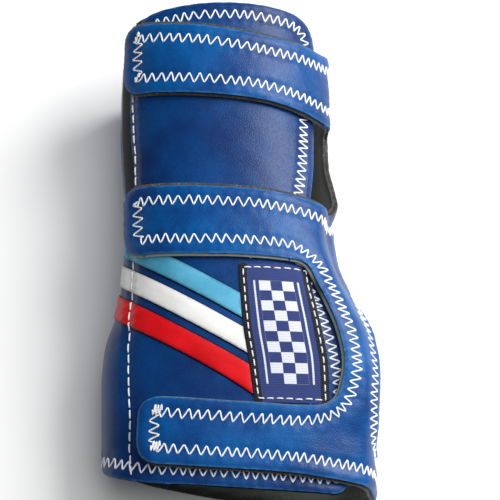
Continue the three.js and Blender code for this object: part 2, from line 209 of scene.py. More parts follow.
# Middles of the thumb hole and of the label (turn, at), how they lean, taper and bow, and the stripes:
# their painted shadow line beside them on the panel, place and slope, and each one's name, order and share
# of STRIPE_WIDTH
THUMB_HOLE = (0.262, 0.268)
THUMB_HOLE_LEAN = 0.12
LABEL = (0.0644, 0.3075)
LABEL_TAPER = 0.04
LABEL_BOW = -0.0152
STRIPE_SHADOW_WIDTH = 0.55
STRIPE_AT = 0.3535
STRIPE_SLOPE = -0.80
STRIPE_START = -0.24
STRIPE_TUCK = 0.0008
STRIPE_LABEL_GAP = 0.25
STRIPES = (("light_blue", 0, 1.03), ("white", 1, 0.96), ("red", 2, 0.98))

# The wrap's flare beside the side window: where along and from which turn, shares of STRAP_RISE,
# how far along it takes to rise and to fall, and where its part by the wrist strap ends
FLARE_LOW, FLARE_HIGH, FLARE_TURN = 0.575, 0.87, 0.20
FLARE_ALONG, FLARE_WRIST = 0.56, 0.23
FLARE_CLIMB, FLARE_FALL, FLARE_WRIST_END = 0.045, 0.09, (0.055, 0.125)
CLIMB_GAP = 1.4

# Stretches of turn or of at over which a seam's inset, the felt's reach, its painted light or its binding
# changes
HEM_STRETCH = (0.06, 0.16)
WINDOW_TURNS = (0.08, 0.12, 0.16, 0.20)
WINDOW_ATS = (0.14, 0.20, 0.42, 0.47)
FELT_BACK, FELT_UPPER, FELT_UPHILL = (0.20, 0.15), (0.50, 0.56), (-0.2, -0.8)
# Where the felt's painted rim light and the painted light on its inside face fall
PALE_ATS = (0.40, 0.44, 0.47, 0.50)
LABEL_PALE_ATS, LABEL_PALE_TURNS, LABEL_PALE = (0.15, 0.20, 0.36, 0.40), (0.16, 0.14), 0.55
INSIDE_PALE = 0.35
RIM_LIGHT_REACH, INSIDE_LIGHT_REACH = (2.2, 0.2), (1.2, 3.0)
BINDING_TURNS, BINDING_ATS, BINDING_WIDTH = (0.205, 0.212), (0.570, 0.585, 0.775, 0.790), (1.7, 0.9)


def read_off(values, known, table):
    """Places in a plane, between those of a table at known values."""
    return np.stack([np.interp(values, known, table[:, axis]) for axis in (0, 1)], 1)


def section_value(at, name):
    """A smooth value between the rows of the section table."""
    rows = np.array(SECTIONS)
    x, y = rows[:, 0], rows[:, COLUMNS.index(name)]
    slope = np.empty_like(y)
    slope[1:-1] = (y[2:] - y[:-2]) / (x[2:] - x[:-2])
    slope[0] = (y[1] - y[0]) / (x[1] - x[0])
    slope[-1] = (y[-1] - y[-2]) / (x[-1] - x[-2])
    i = int(np.clip(np.searchsorted(x, at) - 1, 0, len(x) - 2))
    step = x[i + 1] - x[i]
    t = np.clip((at - x[i]) / step, 0, 1)
    start = (2 * t**3 - 3 * t**2 + 1) * y[i] + (t**3 - 2 * t**2 + t) * step * slope[i]
    end = (3 * t**2 - 2 * t**3) * y[i + 1] + (t**3 - t**2) * step * slope[i + 1]
    return start + end


def ring(at):
    """Points and outward normals round the hollow, evenly spaced, and its girth."""
    little = section_value(at, "little") * HAND_WIDTH
    thumb = section_value(at, "thumb") * HAND_WIDTH
    depth = section_value(at, "depth") * ARM_DEPTH
    middle, half = (thumb - little) / 2, (thumb + little) / 2
    waist = section_value(at, "widest") * depth
    side = half * (1 - section_value(at, "flat"))
    power = 2 / section_value(at, "full")
    angle = np.linspace(0, np.pi / 2, ARC_STEPS, endpoint=False)
    crown = waist + (depth - waist) * np.cos(angle) ** power
    upper = np.stack([half * np.sin(angle) ** power, crown], 1)
    angle = np.linspace(0, np.pi / 2, ARC_STEPS + 1)
    lower = np.stack([half - side + side * np.cos(angle), waist - waist * np.sin(angle)], 1)
    right = np.vstack([upper, lower])
    loop = np.vstack([right, right[:0:-1] * (-1, 1), right[:1]]) + (middle, PALM_Z)
    length = np.concatenate([[0], np.cumsum(np.hypot(*np.diff(loop, axis=0).T))])
    along = np.linspace(0, length[-1], SPOKES, endpoint=False)
    points = read_off(along, length, loop)
    chord = np.roll(points, -NORMAL_REACH, 0) - np.roll(points, NORMAL_REACH, 0)
    normals = np.stack([-chord[:, 1], chord[:, 0]], 1)
    return points, normals / np.linalg.norm(normals, axis=1)[:, None], length[-1]


RING_TABLE = [ring(i / RINGS) for i in range(RINGS + 1)]
FORM_POINTS = np.array([points for points, _, _ in RING_TABLE])
FORM_NORMALS = np.array([normals for _, normals, _ in RING_TABLE])
FORM_GIRTH = np.array([girth for _, _, girth in RING_TABLE])


def girth_at(at):
    return np.interp(at, np.linspace(0, 1, RINGS + 1), FORM_GIRTH)


def on_form(turn, at, height):
    """Places, in millimetres, at a height over the hollow: arrays in, an (n, 3) array out."""
    turn, at, height = (np.atleast_1d(np.asarray(v, float)) for v in (turn, at, height))
    spoke = np.mod(turn, 1) * SPOKES
    row = np.clip(at, 0, 1) * RINGS
    i = np.floor(spoke).astype(int) % SPOKES
    j = np.minimum(np.floor(row).astype(int), RINGS - 1)
    u, v = (spoke - np.floor(spoke))[:, None], (row - j)[:, None]

    def blend(table):
        near = table[j, i] * (1 - u) + table[j, (i + 1) % SPOKES] * u
        far = table[j + 1, i] * (1 - u) + table[j + 1, (i + 1) % SPOKES] * u
        return near * (1 - v) + far * v

    normal = blend(FORM_NORMALS)
    normal /= np.linalg.norm(normal, axis=1)[:, None]
    place = blend(FORM_POINTS) + height[:, None] * normal
    z = np.maximum(place[:, 1], FLOOR_CLEARANCE)
    return np.stack([place[:, 0], (at - 0.5) * LENGTH, z], 1)


def turn_and_at(points):
    """Flat millimetres back to shares of the girth and of the length."""
    return points[:, 0] / PATTERN_GIRTH, points[:, 1] / LENGTH


def over_form(points, height):
    """Flat points laid over the hollow at a height."""
    return on_form(*turn_and_at(points), height)


def flat(rows):
    """Pattern rows to millimetres on the flat cloth."""
    rows = np.array([row[:2] for row in rows], float)
    return rows * (PATTERN_GIRTH, LENGTH)


def outline(rows):
    """A closed outline with rounded corners, in millimetres on the flat cloth."""
    corners = flat(rows)
    points = []
    for i, corner in enumerate(corners):
        before, after = corners[i - 1], corners[(i + 1) % len(corners)]
        to_before, to_after = before - corner, after - corner
        reach = np.linalg.norm(to_before), np.linalg.norm(to_after)
        size = min(rows[i][2] * CORNER, min(reach) * CORNER_LIMIT)
        enter, leave = corner + to_before * size / reach[0], corner + to_after * size / reach[1]
        for t in np.linspace(0, 1, CORNER_STEPS):
            points.append((1 - t) ** 2 * enter + 2 * t * (1 - t) * corner + t**2 * leave)
    points = np.array(points)
    x, y = points.T
    area = (x * np.roll(y, -1) - np.roll(x, -1) * y).sum() / 2
    return points if area > 0 else points[::-1]


def shifted(rows, turn):
    return tuple((row[0] + turn, *row[1:]) for row in rows)


def strap_rows(line, width):
    """A strap's edges as pattern rows: back along its far edge, then along its near one."""
    half, corner = width / 2 / LENGTH, STRAP_CORNER / CORNER
    far = [(turn, at + wide * half, corner) for turn, at, wide in reversed(line)]
    return (*far, *((turn, at - wide * half, corner) for turn, at, wide in line))


def little_edge(arm_margin, hand_margin):
    """The panel's little-finger edge moved out, with one margin on the arm and one on the hand."""
    return tuple(
        (turn - (arm_margin if at > 0.5 else hand_margin) / PATTERN_GIRTH, at, size)
        for turn, at, size in PANEL_LITTLE_EDGE
    )


def panel_rows():
    return (*little_edge(0, 0), *PANEL_FINGER_EDGE, *PANEL_THUMB_EDGE, *PANEL_ARM_EDGE)


def pad_rows():
    thumb = shifted(PANEL_THUMB_EDGE, PAD_MARGIN / PATTERN_GIRTH)
    return (*little_edge(ARM_PAD_MARGIN, PAD_MARGIN), *PANEL_FINGER_EDGE, *thumb, *PANEL_ARM_EDGE)


def wrap_rows():
    seam_gap = 2 * LAYER_GAP
    seam = little_edge(ARM_PAD_MARGIN + seam_gap, PAD_MARGIN + seam_gap)
    palm_seam = (
        (1 + seam[-1][0], *PALM_SEAM_FINGER),
        *shifted(seam[1:-1][::-1], 1),
        (1 + seam[0][0], *PALM_SEAM_ARM),
    )
    return (
        *strap_rows(FOREARM_STRAP, FOREARM_STRAP_WIDTH), *SIDE_WINDOW,
        *strap_rows(WRIST_STRAP, WRIST_STRAP_WIDTH), *LABEL_WINDOW,
        *strap_rows(HAND_STRAP, HAND_STRAP_WIDTH), *PALM_FINGER_EDGE, *palm_seam, *PALM_ARM_EDGE,
    )


def thumb_hole():
    """The thumb hole's edge, clockwise, in millimetres on the flat cloth."""
    angle = -np.linspace(0, 2 * np.pi, HOLE_SIDES, endpoint=False)
    along = THUMB_HOLE_LENGTH / 2 * np.sin(angle)
    across = THUMB_HOLE_WIDTH / 2 * np.cos(angle) + THUMB_HOLE_LEAN * along
    return flat([THUMB_HOLE])[0] + np.stack([across, along], 1)


def real(points):
    """Flat millimetres to millimetres measured on the form, across and along."""
    return points * np.stack([girth_at(points[:, 1] / LENGTH) / PATTERN_GIRTH, np.ones(len(points))], 1)


def measured(points, closed=True):
    """A flat line in fine steps, with the length so far as measured on the form."""
    loop = np.vstack([points, points[:1]]) if closed else points
    fine = [loop[:1]]
    for a, b in zip(loop[:-1], loop[1:]):
        count = max(1, int(np.ceil(np.linalg.norm(b - a) / LINE_STEP)))
        fine.append(a + (b - a) * (np.arange(1, count + 1) / count)[:, None])
    fine = np.vstack(fine)
    middle = (fine[1:] + fine[:-1]) / 2
    scale = girth_at(middle[:, 1] / LENGTH) / PATTERN_GIRTH
    step = np.diff(fine, axis=0)
    return fine, np.concatenate([[0], np.cumsum(np.hypot(step[:, 0] * scale, step[:, 1]))])


def walk(points, along, closed=True):
    """Flat points at given lengths along a line."""
    fine, length = measured(points, closed)
    return read_off(along, length, fine)


def resampled(points, spacing, closed=True):
    """Points evenly spaced along a flat line, and how far along it each one is."""
    total = measured(points, closed)[1][-1]
    count = max(2, int(round(total / spacing / 2)) * 2)
    along = np.linspace(0, total, count, endpoint=not closed)
    return walk(points, along, closed), along


def key(points):
    """A place on the form with the turn as a fourth axis, so that overlapping ends stay apart."""
    place = over_form(points, np.full(len(points), WRAP_TOP))
    return np.hstack([place, TURN_APART * turn_and_at(points)[0][:, None]])


def nearest(points, lines):
    """Distance from each flat point to the nearest line point, and how far along that line it is."""
    best = np.full(len(points), np.inf)
    along = np.zeros(len(points))
    here = key(points)
    for line, length in lines:
        there = key(line)
        for start in range(0, len(here), BLOCK):
            block = slice(start, min(start + BLOCK, len(here)))
            gap = ((here[block, None, :] - there[None, :, :]) ** 2).sum(2)
            pick = gap.argmin(1)
            low = np.sqrt(gap[np.arange(len(pick)), pick])
            closer = low < best[block]
            best[block][closer] = low[closer]
            along[block][closer] = length[pick][closer]
    return best, along


def smoothstep(low, high, value):
    t = np.clip((np.asarray(value, float) - low) / (high - low), 0, 1)
    return t * t * (3 - 2 * t)


def hill(value, low, rise, fall, high):
    """Rises from 0 to 1 between low and rise, and goes back to 0 between fall and high."""
    return smoothstep(low, rise, value) * (1 - smoothstep(fall, high, value))


def bell(value, middle, width):
    return np.exp(-(((value - middle) / width) ** 2))


def panel_thumb_edge(at):
    rows = np.array(PANEL_THUMB_EDGE)
    return np.interp(at, rows[:, 1], rows[:, 0])


def wrap_lift(turn, at):
    """How far the wrap climbs on to the back panel, and stands off at the side window."""
    foot = panel_thumb_edge(at) + (PAD_MARGIN + CLIMB_GAP) / PATTERN_GIRTH
    climb = 1 - smoothstep(foot, foot + WRAP_RAMP / PATTERN_GIRTH, turn)
    beside = smoothstep(FLARE_LOW, FLARE_LOW + FLARE_CLIMB, at)
    window = FLARE_ALONG * (1 - smoothstep(FLARE_HIGH - FLARE_FALL, FLARE_HIGH, at))
    wrist_low, wrist_high = (FLARE_LOW + share for share in FLARE_WRIST_END)
    wrist = FLARE_WRIST * (1 - smoothstep(wrist_low, wrist_high, at))
    stand = 1 - smoothstep(FLARE_TURN, FLARE_TURN + FLARE_FOOT / PATTERN_GIRTH, turn)
    flare = beside * stand * (window + wrist)
    return STRAP_RISE * (1 - (1 - climb) * (1 - flare))


def sideways(points, closed=True):
    """Flat steps that lead one millimetre out of an outline, as measured on the form."""
    chord = np.roll(points, -1, 0) - np.roll(points, 1, 0) if closed else np.gradient(points, axis=0)
    scale = girth_at(points[:, 1] / LENGTH) / PATTERN_GIRTH
    across, along = chord[:, 0] * scale, chord[:, 1]
    size = np.maximum(np.hypot(across, along), 1e-9)
    return np.stack([along / size / scale, -across / size], 1)


def offset(points, distance, closed=True):
    return points + sideways(points, closed) * np.reshape(distance, (-1, 1))


def inset_line(edge, inset):
    """The line that runs a stitch's distance inside an outline, without its loops."""
    fine, _ = resampled(edge, LINE_STEP)
    reach = inset(fine)
    line = offset(fine, -reach)
    gap, _ = nearest(line, [(fine, np.zeros(len(fine)))])
    line = line[gap > reach * LOOP_LIMIT]
    for _ in range(SMOOTHINGS):
        line = (np.roll(line, 1, 0) + 2 * line + np.roll(line, -1, 0)) / 4
    return line


def little_turn(at):
    """Turn of the back panel's little-finger edge at a place along the length."""
    side = PANEL_EDGE[PANEL_EDGE[:, 0] < LITTLE_SIDE * PATTERN_GIRTH]
    order = side[:, 1].argsort()
    return np.interp(at, side[order, 1] / LENGTH, side[order, 0] / PATTERN_GIRTH)


def label_turn(at, side, margin=0.0):
    """Turn of a long edge of the label: side is -1 or 1. Its pattern bows, so that it lies straight."""
    along = (at - LABEL[1]) * LENGTH / (LABEL_LENGTH / 2)
    half = (LABEL_WIDTH / 2 + margin) * (1 + LABEL_TAPER * along)
    return LABEL[0] + side * half / PATTERN_GIRTH + LABEL_BOW * (1 - along * along)


def label_side(side, sides_margin, ends_margin):
    """A long edge of the label, from its finger end."""
    reach = (LABEL_LENGTH / 2 + ends_margin) / LENGTH
    at = np.linspace(LABEL[1] - reach, LABEL[1] + reach, LABEL_SIDE_STEPS)
    return np.stack([label_turn(at, side, sides_margin) * PATTERN_GIRTH, at * LENGTH], 1)


def label_loop(sides_margin=0.0, ends_margin=0.0):
    """The label's outline, or a line beside it."""
    sides = [label_side(side, sides_margin, ends_margin) for side in (1, -1)]
    return np.vstack([sides[0], sides[1][::-1]])


def stripe_at(turn, order):
    return STRIPE_AT - order * STRIPE_SPACING / LENGTH + STRIPE_SLOPE * turn


def stripe_half(wide):
    return wide * STRIPE_WIDTH / 2 / LENGTH / math.cos(math.atan(STRIPE_SLOPE))


def stripe_outline(order, wide):
    """A slanting band from the panel's edge to the label. Its ends are found in rounds."""
    half = stripe_half(wide)
    ends = []
    for side in np.linspace(-1, 1, STRIPE_END_STEPS):
        left, right = STRIPE_START, 0.0
        for _ in range(STRIPE_ROUNDS):
            left = little_turn(stripe_at(left, order) + side * half)
            right = label_turn(stripe_at(right, order) + side * half, -1, STRIPE_LABEL_GAP)
        ends.append([(t, stripe_at(t, order) + side * half) for t in (left + STRIPE_TUCK, right)])
    ends = np.array(ends)
    share = np.linspace(0, 1, STRIPE_SIDE_STEPS)[:, None]
    lower = ends[0, 0] + (ends[0, 1] - ends[0, 0]) * share
    upper = ends[-1, 0] + (ends[-1, 1] - ends[-1, 0]) * share
    return np.vstack([lower, ends[1:-1, 1], upper[::-1], ends[1:-1, 0][::-1]]) * (PATTERN_GIRTH, LENGTH)


# Outlines of the pieces, and the lines that they are stitched along
PANEL_EDGE = outline(panel_rows())
PAD_EDGE = outline(pad_rows())
WRAP_EDGE = outline(wrap_rows())
HOLE_EDGE = thumb_hole()
SIDE_SEAM = flat(SIDE_SEAM_ROWS)


def open_part(line, keep):
    """The stretch of a closed line that is kept, from its first point."""
    first = int(np.flatnonzero(keep & ~np.roll(keep, 1))[0])
    line, keep = np.roll(line, -first, 0), np.roll(keep, -first)
    return line[: int(np.argmin(keep))]


def panel_inset(points):
    hem = 1 - smoothstep(*HEM_STRETCH, turn_and_at(points)[1])
    return SIDE_INSET + (HEM_INSET - SIDE_INSET) * hem


def wrap_inset(points):
    turn, at = turn_and_at(points)
    window = hill(turn, *WINDOW_TURNS) * hill(at, *WINDOW_ATS)
    return STRAP_INSET + (WINDOW_INSET - STRAP_INSET) * window


def panel_zigzag():
    """The panel's zigzag seam: along the finger end, up the thumb side and along the forearm end."""
    line = inset_line(PANEL_EDGE, panel_inset)
    turn, at = turn_and_at(line)
    keep = turn > little_turn(at) + HEM_START / PATTERN_GIRTH
    return np.vstack([flat([ZIGZAG_START]), open_part(line, keep)])


def wrap_zigzag():
    """The wrap's zigzag seam, all round but for the side that is sewn in at the little finger."""
    line = inset_line(WRAP_EDGE, wrap_inset)
    return open_part(line, turn_and_at(line)[0] < WRAP_SEAM_END)


PANEL_SEAM = panel_zigzag()
WRAP_SEAM = wrap_zigzag()
HOLE_SEAM = offset(HOLE_EDGE, -HOLE_INSET)
PAD_LINES = [resampled(PAD_EDGE, EDGE_STEP)]
PANEL_LINES = [resampled(PANEL_EDGE, EDGE_STEP)]
PANEL_SEAMS = [resampled(PANEL_SEAM, SEAM_STEP, False), resampled(SIDE_SEAM, SEAM_STEP, False)]
WRAP_LINES = [resampled(WRAP_EDGE, EDGE_STEP), resampled(HOLE_EDGE, EDGE_STEP)]
WRAP_SEAMS = [resampled(WRAP_SEAM, SEAM_STEP, False), resampled(HOLE_SEAM, SEAM_STEP)]


def wobble(points, size):
    """Slow unevenness of a worn piece."""
    x, y = real(points).T * (2 * np.pi / WOBBLE_WAVE)
    waves = np.sin(x + 0.6 * y + 1.1) + np.sin(1.7 * y - 0.8 * x + 2.3) + 0.6 * np.sin(2.3 * x + 1.9 * y)
    return size * waves / 2.6


def rolled(rim, width):
    """How much an edge is rolled down, from the distance to it."""
    return np.clip(1 - rim / width, 0, 1) ** 2


def sewn_relief(points, edges, seams, plump):
    """Relief of padded vinyl: rolled edge, furrow at each seam, puckers beside it, plump middle."""
    rim, _ = nearest(points, edges)
    gap, along = nearest(points, seams)
    roll = -ROLL_DEPTH * rolled(rim, ROLL_WIDTH)
    furrow = -FURROW_DEPTH * bell(gap, 0, FURROW_WIDTH)
    puff = plump * smoothstep(*PUFF_FROM_SEAM, gap) * smoothstep(*PUFF_FROM_EDGE, rim)
    margin = MARGIN_RISE * bell(gap, MARGIN_PLACE, MARGIN_WIDTH) * smoothstep(*MARGIN_FROM_EDGE, rim)
    ripple = np.sin(2 * np.pi * along / ZIGZAG_PITCH)
    pucker = PUCKER_RISE * ripple * bell(gap, PUCKER_PLACE, PUCKER_WIDTH)
    return roll + furrow + puff + margin + pucker


def panel_height(points):
    """Height of the back panel's vinyl over the hollow."""
    relief = sewn_relief(points, PANEL_LINES, PANEL_SEAMS, PANEL_PLUMP)
    return PANEL_TOP + relief + wobble(points, PANEL_WOBBLE)


def wrap_height(points):
    """Height of the wrap's vinyl, palm and straps."""
    relief = sewn_relief(points, WRAP_LINES, WRAP_SEAMS, WRAP_PLUMP)
    return WRAP_TOP + wrap_lift(*turn_and_at(points)) + relief + wobble(points, WRAP_WOBBLE)


def felt_height(points):
    """Height of the felt's outer face, just under the wrap's vinyl."""
    lift = wrap_lift(*turn_and_at(points))
    return LINING_WALL + lift + wobble(points, WRAP_WOBBLE) - FELT_PRESS


def felt_margin(points):
    """How far the felt reaches past the vinyl: most along the far side of two of the straps."""
    turn, at = turn_and_at(points)
    chord = np.roll(points, -1, 0) - np.roll(points, 1, 0)
    uphill = smoothstep(*FELT_UPHILL, chord[:, 0] / np.linalg.norm(chord, axis=1))
    on_back = smoothstep(*FELT_BACK, turn) * smoothstep(*FELT_UPPER, at)
    return FELT_MARGIN + (FELT_SHOWING - FELT_MARGIN) * uphill * on_back


def felt_painted_light(points):
    """How much painted light lifts the felt's colour: painted rim light, most below the wrist strap and
    some beside the label, and painted light on its inside face away from the rim.
    """
    turn, at = turn_and_at(points)
    rim, _ = nearest(points, WRAP_LINES)
    near = smoothstep(*RIM_LIGHT_REACH, rim)
    below = hill(at, *PALE_ATS) * smoothstep(*FELT_BACK, turn)
    label = LABEL_PALE * hill(at, *LABEL_PALE_ATS) * smoothstep(*LABEL_PALE_TURNS, turn)
    inside = INSIDE_PALE * smoothstep(*INSIDE_LIGHT_REACH, rim)
    return np.maximum(inside, near * np.maximum(below, label))


def felt_binding(points):
    """Where the felt is turned over the vinyl's edge: along the side window."""
    turn, at = turn_and_at(points)
    rim, _ = nearest(points, WRAP_LINES[:1])
    window = smoothstep(*BINDING_TURNS, turn) * hill(at, *BINDING_ATS)
    return window * smoothstep(*BINDING_WIDTH, rim)


def pad_height(points):
    """Height of the foam's outer face, with its edge rounded."""
    rim, _ = nearest(points, PAD_LINES)
    return PAD_WALL - PAD_ROLL * rolled(rim, PAD_ROLL_WIDTH) + wobble(points, PAD_WOBBLE)


def trim_height(points):
    """Height of the face of a stripe or of the label."""
    return panel_height(points) + TRIM_CLEARANCE + TRIM_WALL


def on_stripe(points):
    """True where a flat point of the back panel lies under a stripe."""
    turn, at = turn_and_at(points)
    inside = np.zeros(len(points), bool)
    for _, order, wide in STRIPES:
        inside |= np.abs(at - stripe_at(turn, order)) < stripe_half(wide)
    return inside & (turn < label_turn(at, -1))


def seam_height(points):
    """Height for the side seam's thread, which passes over the stripes."""
    return panel_height(points) + np.where(on_stripe(points), TRIM_WALL, 0)


def deselect():
    if bpy.context.object and bpy.context.object.mode != "OBJECT":
        bpy.ops.object.mode_set(mode="OBJECT")
    bpy.ops.object.select_all(action="DESELECT")


def select_only(piece):
    deselect()
    piece.select_set(True)
    bpy.context.view_layer.objects.active = piece


def places(piece):
    """The places of a piece's points, as an (n, 3) array."""
    co = np.empty(len(piece.data.vertices) * 3, np.float32)
    piece.data.vertices.foreach_get("co", co)
    return co.reshape(-1, 3)


def put(piece, co):
    piece.data.vertices.foreach_set("co", co.astype(np.float32).ravel())
    piece.data.update()


def carry(piece, name, values):
    """Keeps a value at each point of a piece, for its finish to read."""
    attribute = piece.data.attributes.new(name=name, type="FLOAT", domain="POINT")
    attribute.data.foreach_set("value", values.astype(np.float32))


def with_hole(edge, hole):
    """One loop round an outline and a hole, joined by a slit too narrow to see."""
    hole = np.roll(hole, -int(hole[:, 1].argmin()), 0)
    near = int(((edge - hole[0]) ** 2).sum(1).argmin())
    side = np.array([SLIT, 0.0])
    inner = np.vstack([hole[:1] - side, hole[1:], hole[:1] + side])
    entry = edge[near : near + 1]
    return np.vstack([edge[:near], entry - side, inner, entry + side, edge[near + 1 :]])


def cut_sheet(name, loop, cell):
    """A flat piece of cloth in millimetres: its outline as one face, cut in square cells."""
    deselect()
    bpy.ops.mesh.primitive_circle_add(vertices=len(loop), radius=1, fill_type="NGON")
    piece = bpy.context.object
    piece.name = name
    piece.data.name = name
    put(piece, np.hstack([loop, np.zeros((len(loop), 1))]))
    bpy.ops.object.mode_set(mode="EDIT")
    low, high = loop.min(0), loop.max(0)
    for axis in (0, 1):
        normal = Vector((1 - axis, axis, 0))
        count = int(np.ceil((high[axis] - low[axis]) / cell))
        for k in range(1, count):
            place = low[axis] + (high[axis] - low[axis]) * k / count
            bpy.ops.mesh.select_all(action="SELECT")
            bpy.ops.mesh.bisect(plane_co=normal * place, plane_no=normal)
    bpy.ops.mesh.select_all(action="SELECT")
    bpy.ops.mesh.remove_doubles(threshold=MERGE_DISTANCE)
    bpy.ops.mesh.select_all(action="DESELECT")
    bpy.ops.object.mode_set(mode="OBJECT")
    return piece


def flat_points(piece):
    return places(piece)[:, :2].astype(float)


def lay(piece, height, lines, uv=None):
    """Lays a flat piece over the form, with its distance from the edge kept for its finish."""
    points = flat_points(piece)
    uv = points / (PATTERN_GIRTH, LENGTH) if uv is None else uv(points)
    layer = piece.data.uv_layers[0] if piece.data.uv_layers else piece.data.uv_layers.new()
    layer.name = "pattern"
    corner = np.empty(len(piece.data.loops), np.int32)
    piece.data.loops.foreach_get("vertex_index", corner)
    layer.data.foreach_set("uv", uv[corner].astype(np.float32).ravel())
    carry(piece, "edge_mm", nearest(points, lines)[0])
    put(piece, over_form(points, height(points)) * MM)


def shell(piece, wall, bevel=0.22, segments=2):
    """Gives a laid piece its wall, inwards, with softened edges. The rim takes the second material."""
    select_only(piece)
    bpy.ops.object.modifier_add(type="SOLIDIFY")
    solid = piece.modifiers[-1]
    solid.thickness = wall * MM
    solid.offset = -1
    solid.use_even_offset = False
    solid.material_offset_rim = 1
    bpy.ops.object.modifier_apply(modifier=solid.name)
    bpy.ops.object.modifier_add(type="BEVEL")
    soft = piece.modifiers[-1]
    soft.width = bevel * MM
    soft.segments = segments
    soft.limit_method = "ANGLE"
    soft.angle_limit = BEVEL_ANGLE
    soft.use_clamp_overlap = True
    soft.material = -1
    bpy.ops.object.modifier_apply(modifier=soft.name)
    keep_above(piece, FLOOR_CLEARANCE)
    bpy.ops.object.shade_smooth_by_angle(angle=SMOOTH_ANGLE)


def make_sheet(name, loop, cell, height, lines, wall, carried=None, uv=None, **edge):
    """A piece cut flat, laid over the form and given its wall, with a value that its finish reads."""
    piece = cut_sheet(name, loop, cell)
    values = carried[1](flat_points(piece)) if carried else None
    lay(piece, height, lines, uv)
    if carried:
        carry(piece, carried[0], values)
    shell(piece, wall, **edge)
    return piece


def keep_above(piece, low):
    """Presses what would sink into the floor flat against it."""
    co = places(piece)
    co[:, 2] = np.maximum(co[:, 2], low * MM)
    put(piece, co)


def finish_piece(piece, slot, *materials, node=None):
    """Rides a piece on the glove, with its finish and the solid that it stands for."""
    for material in materials:
        piece.data.materials.append(material)
    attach(piece, "root")
    if node:
        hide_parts(node)


def uneven(phase, waves):
    return sum(size * np.sin(rate * phase + start) for size, rate, start in waves)


def wave_path(line, height, closed=True, pitch=ZIGZAG_PITCH, rise=WAVE_RISE):
    """Centre line of a zigzag thread: rounded peaks, pressed into the cloth at each needle hole."""
    fine, _ = measured(line, closed)
    steps = np.linalg.norm(np.diff(over_form(fine, height(fine)), axis=0), axis=1)
    tight = smoothstep(*TIGHT_TURNS, turn_and_at(fine[1:])[0])
    local = pitch * (1 + (TIGHT_PITCH / ZIGZAG_PITCH - 1) * tight)
    so_far = np.concatenate([[0], np.cumsum(steps / local)])
    turns = max(1, int(round(so_far[-1])))
    phase = np.linspace(0, turns, WAVE_STEPS * turns, endpoint=not closed)
    share = phase if closed else np.clip(phase + uneven(phase, WAVE_DRIFT), 0, turns)
    reached = share * so_far[-1] / turns
    centre = read_off(reached, so_far, fine)
    swing = np.arcsin(PEAK_SHARPNESS * np.sin(2 * np.pi * phase)) / math.asin(PEAK_SHARPNESS)
    size = 1 + uneven(phase, WAVE_SWELL)
    points = offset(centre, swing * size * ZIGZAG_WIDTH / 2, closed)
    pressed = NEEDLE_DEPTH * np.abs(swing) ** NEEDLE_SHARPNESS
    place = over_form(points, height(points) + rise - pressed)
    return np.vstack([place, place[:1]]) if closed else place


# A straight stitch: places along it as shares, and how far it stands out at each
DASH_SHARES = np.array((0.0, 0.09, 0.3, 0.7, 0.91, 1.0))
DASH_RISE = np.array((-0.30, 0.06, 0.16, 0.16, 0.06, -0.30))


def dash_paths(line, height, closed=False, dash=DASH, gap=DASH_GAP, sway=SIDE_SWAY):
    """Centre lines of the separate stitches of a straight seam."""
    total = measured(line, closed)[1][-1]
    count = int(total / (dash + gap))
    starts = np.arange(count) * total / count
    along = starts[:, None] + rng.normal(0, DASH_UNEVEN, (count, 1)) + dash * DASH_SHARES[None, :]
    points = walk(line, np.clip(along.ravel(), 0, total), closed)
    points = points + np.repeat(rng.normal(0, sway, (count, 2)), len(DASH_SHARES), 0)
    place = over_form(points, height(points) + np.tile(DASH_RISE, count))
    return list(place.reshape(count, len(DASH_SHARES), 3))


def lock_paths():
    """Close stitches where two rows meet at the corners of two straps' ends."""
    straps = ((FOREARM_STRAP, FOREARM_STRAP_WIDTH), (HAND_STRAP, HAND_STRAP_WIDTH))
    paths = []
    for (line, width), length in zip(straps, LOCK_LENGTHS):
        turn, at, wide = line[0]
        lean = (line[1][1] - at) / (line[1][0] - turn) * LENGTH / PATTERN_GIRTH
        step = np.array([1.0, lean]) * length / 2
        for side in (-1, 1):
            inwards = (LOCK_INSET, side * (wide * width / 2 - STRAP_INSET))
            corner = flat([(turn, at)])[0] + inwards
            row = np.array([corner - step, corner + step])
            paths.append(wave_path(row, wrap_height, False, LOCK_PITCH, LOCK_RISE))
    return paths


def thread(name, paths, radius=THREAD):
    """Thread as round tubes along its centre lines, made a mesh."""
    curve = bpy.data.curves.new(name, "CURVE")
    curve.dimensions = "3D"
    curve.bevel_depth = radius * MM
    curve.bevel_resolution = 1
    curve.use_fill_caps = True
    for path in paths:
        spline = curve.splines.new("POLY")
        spline.points.add(len(path) - 1)
        spline.points.foreach_set("co", np.hstack([path * MM, np.ones((len(path), 1))]).ravel())
    piece = bpy.data.objects.new(name, curve)
    bpy.context.scene.collection.objects.link(piece)
    select_only(piece)
    bpy.ops.object.convert(target="MESH")
    piece = bpy.context.object
    keep_above(piece, PRESSED_THREAD)
    bpy.ops.object.shade_smooth()
    finish_piece(piece, "white_thread", WHITE_THREAD)
    return piece


# Helpers for the node trees of the finishes
def node(tree, kind, inputs=None, **settings):
    """A node with its settings; each input is a value or another node's output."""
    made = tree.nodes.new(kind)
    for name, value in settings.items():
        setattr(made, name, value)
    for name, value in (inputs or {}).items():
        if isinstance(value, bpy.types.NodeSocket):
            tree.links.new(value, made.inputs[name])
        else:
            made.inputs[name].default_value = value
    return made


def calc(tree, operation, *values):
    return node(tree, "ShaderNodeMath", dict(enumerate(values)), operation=operation).outputs[0]


def plus(tree, first, second):
    return calc(tree, "ADD", first, second)


def minus(tree, first, second):
    return calc(tree, "SUBTRACT", first, second)


def times(tree, first, second):
    return calc(tree, "MULTIPLY", first, second)


def attribute(tree, name):
    return node(tree, "ShaderNodeAttribute", attribute_name=name).outputs["Fac"]


def blend(tree, factor, first, second):
    made = node(tree, "ShaderNodeMix", {0: factor, 6: first, 7: second}, data_type="RGBA")
    return made.outputs[2]


